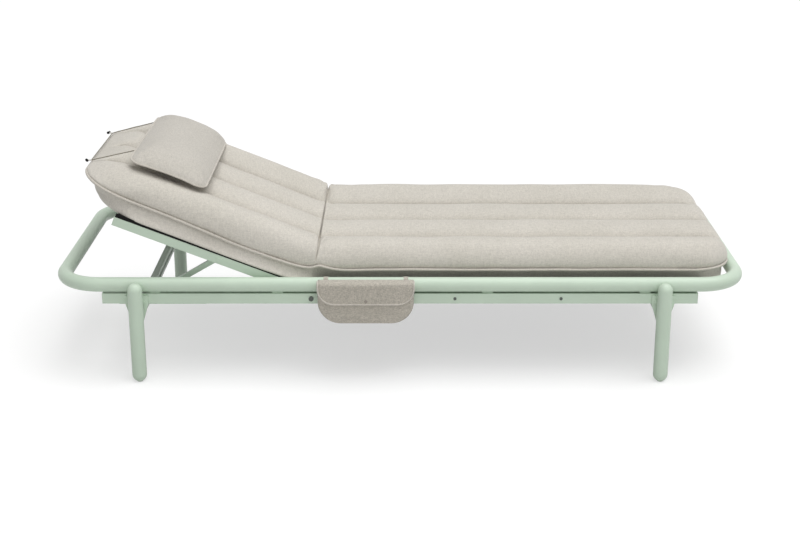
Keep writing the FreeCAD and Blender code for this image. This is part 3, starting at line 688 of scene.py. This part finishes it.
def mattress_relief(points):
    """How far the cloth stands out at each point: puckers, wrinkles, lumps and gathers, less the grooves."""
    above = np.clip((points[:, 2] - mattress_base - channel_floor) / relief_fade, 0, 1)
    seam_gap = np.min([np.abs(points[:, 1] - seam) for seam in seams], axis=0)
    groove = (bell(seam_gap, *fine_groove) + bell(seam_gap, *wide_groove)) * above
    gathered = np.exp(-seam_gap / pucker_reach)
    pucker = pucker_depth * wander(points * (1.0, 0.25, 0.25), scale=34, seed=1) * gathered * above
    near_fold = bell(points[:, 0] - hinge_x, 1.0, 0.0, wrinkle_spread)
    hinge_wrinkle = wrinkle_depth * wander(points * (1.0, 0.35, 0.6), scale=30, seed=2) * near_fold
    lump = lump_depth * wander(points, scale=9, seed=3)
    near_piping = np.exp(-np.abs(points[:, 2] - seam_height) / gather_reach)
    gather = gather_depth * wander(points * (1.0, 1.0, 0.2), scale=48, seed=4) * near_piping
    resting = np.clip((points[:, 2] - mattress_base) / relief_fade, 0, 1)
    return (pucker + hinge_wrinkle + lump + gather) * resting - groove


def settled(points):
    """Points after the rim follows the piping, the underside bridges the fold and the ends are drawn in."""
    points = np.array(points)
    rise = points[:, 2] - mattress_base
    at_edge = np.clip(1 - inset_from_edge(points) / seam_edge, 0, 1)
    seam_share = np.interp(rise, seam_share_levels, seam_shares) * at_edge
    bridge = bell(points[:, 0] - hinge_x, *underside_lift) * np.clip(1 - rise / underside_height, 0, 1)
    points[:, 2] += seam_shift(points[:, 0]) * seam_share + bridge
    points[:, 0] += end_tuck(points[:, 0], rise)
    return points


def build_mattress(outline):
    """The whole mattress as one cushion with sewn channels, bent at the hinge."""
    rim = [upper_ring(outline, inset, rise) for inset, rise in upper_rim]
    rim += [lower_ring(outline, *step) for step in lower_rim]

    def flat_base(plan):
        return np.full(len(plan), mattress_base)

    mattress, rings, _ = stuffed(
        "mattress", outline, top_inset, base_inset, mattress_top, rim, flat_base)
    points = places(mattress)
    held = np.zeros(len(points), dtype=bool)
    held[rings[len(upper_rim)][0]:] = True
    on_top = np.arange(len(points)) < rings[1][0]
    for seam in seams:
        held |= on_top & (np.abs(points[:, 1] - seam) < seam_hold)
    held |= on_top & (np.abs(points[:, 0] - crease_x) < crease_hold)
    puff(mattress, held, pressure=4.0, frames=12, limit=0.004)
    subdivide(mattress)
    points = places(mattress)
    points = points + normals(mattress) * mattress_relief(points)[:, None]
    move_to(mattress, raise_back(settled(points)))
    return mattress


def build_piping(outline):
    """The piping round the mattress, a little wavy."""
    plan = outline.ring(piping_inset)
    waver = waver_depth * wander(np.column_stack([plan, np.zeros(len(plan))]), scale=14, seed=5)
    level = seam_height + seam_shift(plan[:, 0]) + waver
    along = plan[:, 0] + end_tuck(plan[:, 0], piping_tuck_level)
    path = np.column_stack([along, plan[:, 1], level])
    piping = tube("mattress_piping", raise_back(path), piping_radius, 12, closed=True)
    subdivide(piping)
    return piping


mattress_plan = mattress_outline()
mattress = build_mattress(mattress_plan)
piping = build_piping(mattress_plan)
finish_piece(mattress, linen, "mattress_cloth", "seat_cushion", "backrest_cushion", "cushion_fold")
finish_piece(piping, binding, "mattress_cloth", "seat_piping", "backrest_piping")
for piece in (mattress, piping):
    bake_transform(piece)


# Pillow


def build_pillow():
    """A stuffed pillow modelled flat, with its crumpled points and the path of its piped seam."""
    middle = hinge_x - pillow_middle
    seam = hinge_z + pillow_seam
    low, high = middle - pillow_half_length, middle + pillow_half_length
    straight = np.linspace(low + pillow_corner, high - pillow_corner, 26)[1:-1]
    end = pillow_half_width - pillow_corner
    lines = np.linspace(-end, end, 91)
    corners = (pillow_corner, pillow_corner)
    fixed = end - pillow_line_margin
    outline = Outline(low, high, pillow_half_width, corners, straight, lines, fixed, arc_steps=8)

    def reach(plan):
        from_ends = pillow_half_length - np.abs(plan[:, 0] - middle)
        from_sides = pillow_half_width - np.abs(plan[:, 1])
        return smooth_min(from_ends, from_sides, pillow_blend)

    def ear_droop(plan):
        toward_end = np.clip(np.abs(plan[:, 0] - middle) / pillow_half_length, 0, 1)
        toward_side = np.clip(np.abs(plan[:, 1]) / pillow_half_width, 0, 1)
        return ear_drop * toward_end ** 2 * toward_side ** 6

    def top(plan):
        return seam + np.interp(reach(plan), pillow_top_insets, pillow_top_rises)

    def bottom(plan):
        return seam - np.interp(reach(plan), pillow_under_insets, pillow_under_drops)

    rim = []
    for inset, rise in pillow_rim:
        plan = outline.ring(inset)
        rim.append(np.column_stack([plan, np.full(len(plan), seam + rise)]))
    pillow, rings, bottom_start = stuffed("pillow", outline, pillow_inset, pillow_inset, top, rim, bottom)
    points = places(pillow)
    held = np.zeros(len(points), dtype=bool)
    held[bottom_start:] = True
    seam_ring = 1 + pillow_rim.index((0.0, 0.0))
    held[rings[seam_ring]] = True
    puff(pillow, held, pressure=4.0, frames=14, limit=0.005)
    subdivide(pillow)
    points = places(pillow)
    out = normals(pillow)
    edge = np.exp(-np.maximum(reach(points), 0) / crumple_reach)
    upper = np.clip((points[:, 2] - seam) / crumple_fade, 0, 1)
    crumple = edge_crumple * wander(points, scale=26, seed=6) * edge
    crumple = crumple + body_crumple * wander(points, scale=10, seed=7)
    points = points + out * (crumple * upper)[:, None]
    points[:, 2] -= ear_droop(points)
    trim = outline.ring(trim_inset)
    wave = trim_wave * wander(np.column_stack([trim, np.zeros(len(trim))]), scale=22, seed=8)
    seam_path = np.column_stack([trim, seam + wave - ear_droop(trim)])
    return pillow, points, seam_path


def lean_back(points):
    """Turns flat backrest points to the standing angle."""
    points = np.array(points, dtype=float)
    along = points[:, 0] - hinge_x
    up = points[:, 2] - hinge_z
    points[:, 0] = hinge_x + along * math.cos(rest_angle) + up * math.sin(rest_angle)
    points[:, 2] = hinge_z - along * math.sin(rest_angle) + up * math.cos(rest_angle)
    return points


pillow, pillow_points, seam_path = build_pillow()
move_to(pillow, lean_back(pillow_points))
finish_piece(pillow, pillow_linen, "pillow_cloth", "head_pillow")
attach(pillow, "pillow")
pillow_trim = tube("pillow_trim", lean_back(seam_path), trim_radius, 8, closed=True)
pillow_trim.data.materials.append(binding)
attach(pillow_trim, "pillow")


# Cord


def rounded_route(corners, radius, steps=6):
    """Points along straight runs joined by arcs."""
    route = [corners[0]]
    for before, corner, after in zip(corners, corners[1:], corners[2:]):
        inward = (before - corner).normalized()
        outward = (after - corner).normalized()
        half = inward.angle(outward) / 2
        start = corner + inward * (radius / math.tan(half))
        center = corner + (inward + outward).normalized() * (radius / math.sin(half))
        arm = start - center
        end_arm = corner + outward * (radius / math.tan(half)) - center
        sweep = arm.angle(end_arm)
        for k in range(steps + 1):
            turn = sweep * k / steps
            blended = arm * math.sin(sweep - turn) + end_arm * math.sin(turn)
            route.append(center + blended / math.sin(sweep))
    route.append(corners[-1])
    return route


near_side = [on_back(s, n, -y) for s, n, y in cord_route]
far_side = [on_back(s, n, y) for s, n, y in cord_route]
cord_path = rounded_route(near_side + far_side[::-1], cord_corner)
cord_length = sum((b - a).length for a, b in zip(cord_path, cord_path[1:]))
cord = tube("pillow_cord", cord_path, cord_radius, 10)
finish_piece(cord, elastic, "elastic_cord", "elastic_cord")
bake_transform(cord)
tuple(cord_path[0])
[tuple(p) for p in cord_path]


# Pocket


def panel_half(level, half, bottom, corner):
    """Half width of a panel with rounded lower corners at a height."""
    below = np.clip(bottom + corner - level, 0, corner)
    return half - corner + np.sqrt(np.maximum(corner ** 2 - below ** 2, 0))


def panel_levels(top, bottom, corner, straight, bends):
    """Heights from a panel's top down to its bottom edge, closer together round the corners."""
    turns = np.linspace(0, math.pi / 2, bends)
    upper = np.linspace(top, bottom + corner, straight)[:-1]
    return np.concatenate([upper, bottom + corner * (1 - np.sin(turns))])


def build_pouch():
    """An open topped pouch: back panel, gusset and a front panel that bellies out."""
    levels = panel_levels(pocket_mouth, pocket_bottom, pocket_corner, 8, 12)
    spread = np.linspace(-1, 1, 33)
    points = []
    for out in pouch_layers:
        half = panel_half(levels, pocket_half, pocket_bottom, pocket_corner)
        x = pocket_middle + half[:, None] * spread
        z = np.repeat(levels[:, None], len(spread), 1)
        y = np.full_like(x, pocket_back - out - pouch_gap)
        points.append(np.stack([x, y, z], -1))
    rows, columns = points[0].shape[:2]
    across_belly = 1 - np.abs(spread) ** 3
    down_belly = np.sin(np.linspace(0.35, 1, rows) * math.pi) * np.linspace(1, 0.7, rows)
    points[-1][..., 1] -= pouch_belly * down_belly[:, None] * across_belly
    ring = np.concatenate([np.arange(rows) * columns, (rows - 1) * columns + np.arange(1, columns - 1),
                           np.arange(rows)[::-1] * columns + columns - 1])
    size = rows * columns
    cloud = np.concatenate([points[0].reshape(-1, 3), points[-1].reshape(-1, 3)])
    faces = grid_faces(rows, columns, 0) + grid_faces(rows, columns, size)
    last = ring
    count = 2 * size
    for layer in points[1:-1]:
        row = layer.reshape(-1, 3)[ring]
        cloud = np.concatenate([cloud, row])
        at = count + np.arange(len(ring))
        faces += np.stack([last[:-1], last[1:], at[1:], at[:-1]], 1).tolist()
        last = at
        count += len(ring)
    at = size + ring
    faces += np.stack([last[:-1], last[1:], at[1:], at[:-1]], 1).tolist()
    pouch = mesh_object("pocket_bag", cloud, faces)
    thick = pouch.modifiers.new("thick", "SOLIDIFY")
    thick.thickness = pouch_cloth
    thick.offset = -1
    return pouch


def build_flap():
    """The flap over the mouth with a bound edge."""
    front = pocket_back - pocket_depth - flap_gap
    lid = np.linspace(pocket_back, front + flap_bend, 6)
    turn = np.linspace(0, math.pi / 2, 6)[1:]
    path = [(y, pocket_top) for y in lid]
    outer = cloth_thickness + flap_bend
    for a in turn:
        path.append((front + flap_bend - outer * math.sin(a), pocket_top - outer * (1 - math.cos(a))))
    levels = panel_levels(path[-1][1], pocket_top - flap_drop, flap_corner, 4, 12)
    path += [(path[-1][0], z) for z in levels[1:]]
    spread = np.linspace(-1, 1, 33)
    points = []
    for y, z in path:
        half = panel_half(np.array([z]), pocket_half, pocket_top - flap_drop, flap_corner)[0]
        points.append([(pocket_middle + half * t, y, z) for t in spread])
    points = np.array(points)
    rows, columns = points.shape[:2]
    flap = mesh_object("flap_sheet", points.reshape(-1, 3), grid_faces(rows, columns, 0))
    thick = flap.modifiers.new("thick", "SOLIDIFY")
    thick.thickness = cloth_thickness - cloth_margin
    thick.offset = -1
    near_edge = points[binding_start:, 0]
    far_edge = points[::-1][:-binding_start, -1]
    edge = np.concatenate([near_edge, points[-1, 1:-1], far_edge])
    edge[:, 1] += binding_back
    return flap, tube("flap_binding", edge, binding_radius, 8, across=binding_across)


pouch = build_pouch()
finish_piece(pouch, heather, "pocket_cloth", "pocket_pouch")
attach(pouch, "pocket")
flap, flap_edge = build_flap()
finish_piece(flap, heather, "pocket_cloth", "pocket_flap")
flap_edge.data.materials.append(binding)
for piece in (flap, flap_edge):
    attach(piece, "flap")


# Studio


def seen_share(tree):
    """One for rays that show the backdrop, directly or through gloss and glass, and zero for light."""
    path = tree.nodes.new("ShaderNodeLightPath")
    share = path.outputs["Is Camera Ray"]
    for kind in ("Is Glossy Ray", "Is Transmission Ray"):
        larger = tree.nodes.new("ShaderNodeMath")
        larger.operation = "MAXIMUM"
        tree.links.new(share, larger.inputs[0])
        tree.links.new(path.outputs[kind], larger.inputs[1])
        share = larger.outputs["Value"]
    return share


floor_material, floor_tree, floor_shader = new_material("studio_floor")
floor_shader.inputs["Base Color"].default_value = (0.45, 0.45, 0.45, 1.0)
floor_shader.inputs["Roughness"].default_value = 0.95
floor_shader.inputs["Emission Color"].default_value = (1.0, 1.0, 1.0, 1.0)
floor_shader.inputs["Emission Strength"].default_value = 0.57
plain_floor = floor_tree.nodes.new("ShaderNodeBsdfDiffuse")
plain_floor.inputs["Color"].default_value = (0.7, 0.7, 0.7, 1.0)
floor_mix = floor_tree.nodes.new("ShaderNodeMixShader")
floor_end = next(n for n in floor_tree.nodes if n.type == "OUTPUT_MATERIAL")
floor_tree.links.new(seen_share(floor_tree), floor_mix.inputs[0])
floor_tree.links.new(plain_floor.outputs["BSDF"], floor_mix.inputs[1])
floor_tree.links.new(floor_shader.outputs["BSDF"], floor_mix.inputs[2])
floor_tree.links.new(floor_mix.outputs["Shader"], floor_end.inputs["Surface"])
floor_corners = [(x * floor_half, y * floor_half, 0) for x, y in ((-1, -1), (1, -1), (1, 1), (-1, 1))]
floor = mesh_object("floor", floor_corners, [(0, 1, 2, 3)])
floor.data.materials.append(floor_material)


def softbox(name, place, power):
    """A large area light that looks at the lounger."""
    lamp = bpy.data.lights.new(name, "AREA")
    lamp.shape = "RECTANGLE"
    lamp.size, lamp.size_y = fill_size
    lamp.energy = power
    obj = bpy.data.objects.new(name, lamp)
    obj.location = place
    obj.rotation_euler = (Vector(fill_target) - Vector(place)).to_track_quat("-Z", "Y").to_euler()
    bpy.context.scene.collection.objects.link(obj)


top_light = bpy.data.lights.new("top_light", "SUN")
top_light.energy = sun_strength
top_light.angle = sun_spread
top_lamp = bpy.data.objects.new("top_light", top_light)
top_lamp.rotation_euler = sun_turn
bpy.context.scene.collection.objects.link(top_lamp)
softbox("front_fill", low_fill_place, low_fill_power)
softbox("high_fill", high_fill_place, high_fill_power)
world = bpy.data.worlds.new("studio")
world.use_nodes = True
sky_light = next(n for n in world.node_tree.nodes if n.type == "BACKGROUND")
sky_light.inputs["Color"].default_value = (1.0, 1.0, 1.0, 1.0)
sky_light.inputs["Strength"].default_value = sky_strength
white_sky = world.node_tree.nodes.new("ShaderNodeBackground")
white_sky.inputs["Color"].default_value = (1.0, 1.0, 1.0, 1.0)
white_sky.inputs["Strength"].default_value = 1.0
sky_mix = world.node_tree.nodes.new("ShaderNodeMixShader")
sky_end = next(n for n in world.node_tree.nodes if n.type == "OUTPUT_WORLD")
world.node_tree.links.new(seen_share(world.node_tree), sky_mix.inputs[0])
world.node_tree.links.new(sky_light.outputs["Background"], sky_mix.inputs[1])
world.node_tree.links.new(white_sky.outputs["Background"], sky_mix.inputs[2])
world.node_tree.links.new(sky_mix.outputs["Shader"], sky_end.inputs["Surface"])
bpy.context.scene.world = world
bpy.context.scene.view_settings.view_transform = "Standard"

lens = bpy.data.cameras.new("camera")
lens.lens = camera_lens
lens.sensor_width = camera_sensor
camera = bpy.data.objects.new("camera", lens)
camera.location = camera_place
camera.rotation_euler = (math.radians(90 - camera_pitch), 0.0, 0.0)
bpy.context.scene.collection.objects.link(camera)
bpy.context.scene.camera = camera
